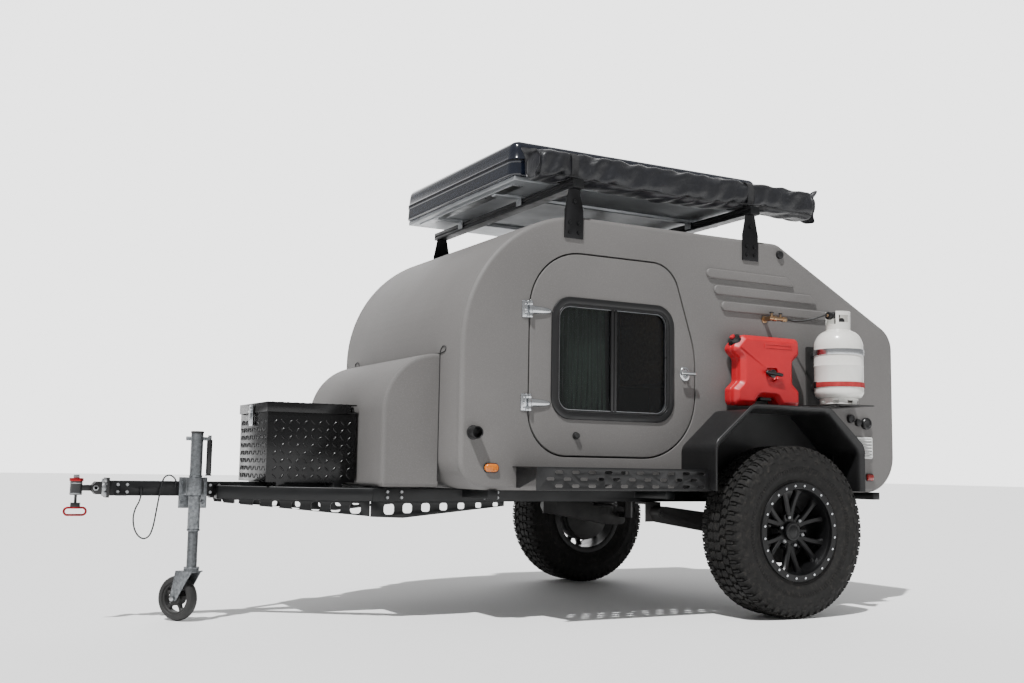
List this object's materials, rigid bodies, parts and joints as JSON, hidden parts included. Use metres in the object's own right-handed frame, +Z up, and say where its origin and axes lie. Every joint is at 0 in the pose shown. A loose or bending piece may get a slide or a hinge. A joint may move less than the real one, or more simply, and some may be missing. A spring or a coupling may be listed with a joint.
{
  "type": "off-road teardrop trailer",
  "caption": "Off-road teardrop camping trailer with side doors, rear galley hatch, roof rack with folded tent and awning, parked on its jack.",
  "frame": {"origin": "on the ground under the middle of the trailer's overall length and width", "axes": "+X forward to the coupler, +Y to the trailer's left side, +Z up"},
  "size_m": [4.282, 2.2, 2.33],
  "materials": {
    "frame_steel": "black powder coat",
    "suspension_steel": "satin black paint",
    "body_coating": "textured warm grey coating",
    "door_coating": "textured warm grey coating",
    "floor_board": "black sealed board",
    "birch_ply": "clear lacquered plywood",
    "mattress_cloth": "woven cover",
    "black_texture": "sparkling textured black coat",
    "stainless": "polished stainless steel",
    "black_plastic": "moulded black plastic",
    "lens": "amber and red lens",
    "plate_blank": "blank white plate",
    "rack_alloy": "black anodised",
    "vent_plastic": "grey translucent plastic",
    "tray_alloy": "mill finish",
    "tent_gloss": "gloss dark blue-black shell",
    "awning_pvc": "black coated fabric",
    "red_plastic": "rotomoulded red plastic",
    "bracket_steel": "dark grey powder coat",
    "bottle_enamel": "white enamel",
    "brass": "brass and black hose",
    "tread_plate": "black painted tread plate",
    "galvanised": "galvanised steel",
    "zinc": "zinc plated",
    "caster_rubber": "black rubber",
    "coupler_black": "black coat with red parts",
    "cable_jacket": "black jacket",
    "tyre_rubber": "black tread rubber",
    "rim_black": "satin black alloy",
    "window_black": "black frame",
    "tinted_glass": "dark tinted",
    "curtain_cloth": "dark green cloth"
  },
  "bodies": {
    "trailer": {"chassis_frame": "frame_steel", "drawbar": "frame_steel", "a_frame": "frame_steel", "truss_webs": "frame_steel", "suspension_left": "suspension_steel", "suspension_right": "suspension_steel", "cabin_floor": "floor_board", "wall_left": "body_coating", "wall_right": "body_coating", "roof_skin": "body_coating", "rear_panel": "body_coating", "bulkhead": "birch_ply", "galley_shelves": "birch_ply", "front_pod": "body_coating", "mattress": "mattress_cloth", "fender_left": "black_texture", "fender_right": "black_texture", "step_left": "black_texture", "step_right": "black_texture", "fixed_hinges": "stainless", "wall_fittings": "black_plastic", "lights": "lens", "number_plate": "plate_blank", "roof_rack": "rack_alloy", "roof_vent": "vent_plastic", "tent_base": "tray_alloy", "tent_shell": "tent_gloss", "awning_bag": "awning_pvc", "fuel_can": "red_plastic", "wall_brackets": "bracket_steel", "gas_bottle": "bottle_enamel", "gas_line": "brass", "gas_hose": "cable_jacket", "toolbox": "tread_plate", "jack_bracket": "frame_steel", "jack_tube": "galvanised", "coupler_yoke": "coupler_black", "breakaway_cable": "cable_jacket"},
    "wheel_left": {"tyre_left": "tyre_rubber", "rim_left": "rim_black"},
    "wheel_right": {"tyre_right": "tyre_rubber", "rim_right": "rim_black"},
    "door_left": {"door_left": "door_coating", "window_frame_left": "window_black", "glass_left": "tinted_glass", "door_fittings_left": "stainless", "curtain_left": "curtain_cloth"},
    "door_right": {"door_right": "door_coating", "window_frame_right": "window_black", "glass_right": "tinted_glass", "door_fittings_right": "stainless", "curtain_right": "curtain_cloth"},
    "hatch": {"hatch": "door_coating"},
    "toolbox_lid": {"toolbox_lid": "tread_plate"},
    "jack_leg": {"jack_leg": "galvanised"},
    "caster_fork": {"caster_fork": "zinc"},
    "caster_wheel": {"caster_wheel": "caster_rubber"},
    "coupler_block": {"coupler_block": "coupler_black"},
    "coupler_receiver": {"coupler_receiver": "coupler_black"}
  },
  "joints": [
    {"name": "wheel_left_spin", "type": "hinge", "parent": "trailer", "child": "wheel_left", "pos_m": [-1.111, 0.966, 0.419], "axis": [0, 1, 0], "continuous": true},
    {"name": "wheel_right_spin", "type": "hinge", "parent": "trailer", "child": "wheel_right", "pos_m": [-1.111, -0.966, 0.419], "axis": [0, 1, 0], "continuous": true},
    {"name": "door_left_swing", "type": "hinge", "parent": "trailer", "child": "door_left", "pos_m": [0.227, 0.758, 1.25], "axis": [0, 0, -1], "range_deg": [0, 168]},
    {"name": "door_right_swing", "type": "hinge", "parent": "trailer", "child": "door_right", "pos_m": [0.227, -0.758, 1.25], "axis": [0, 0, 1], "range_deg": [0, 168]},
    {"name": "hatch_lift", "type": "hinge", "parent": "trailer", "child": "hatch", "pos_m": [-1.286, 0, 1.932], "axis": [0, 1, 0], "range_deg": [0, 48]},
    {"name": "toolbox_lid_lift", "type": "hinge", "parent": "trailer", "child": "toolbox_lid", "pos_m": [0.883, 0, 0.98], "axis": [0, -1, 0], "range_deg": [0, 85]},
    {"name": "jack_extend", "type": "slide", "parent": "trailer", "child": "jack_leg", "axis": [0, 0, 1], "range_m": [-0.1, 0.15]},
    {"name": "caster_swivel", "type": "hinge", "parent": "jack_leg", "child": "caster_fork", "pos_m": [1.597, 0.12, 0.226], "axis": [0, 0, 1], "continuous": true},
    {"name": "caster_spin", "type": "hinge", "parent": "caster_fork", "child": "caster_wheel", "pos_m": [1.63913, 0.0641, 0.1], "axis": [0.7986, 0.6018, 0], "continuous": true},
    {"name": "coupler_roll", "type": "hinge", "parent": "trailer", "child": "coupler_block", "pos_m": [1.989, 0, 0.588], "axis": [1, 0, 0], "continuous": true},
    {"name": "coupler_pitch", "type": "hinge", "parent": "coupler_block", "child": "coupler_receiver", "pos_m": [2.011, 0, 0.588], "axis": [0, 1, 0], "range_deg": [-25, 25]}
  ]
}
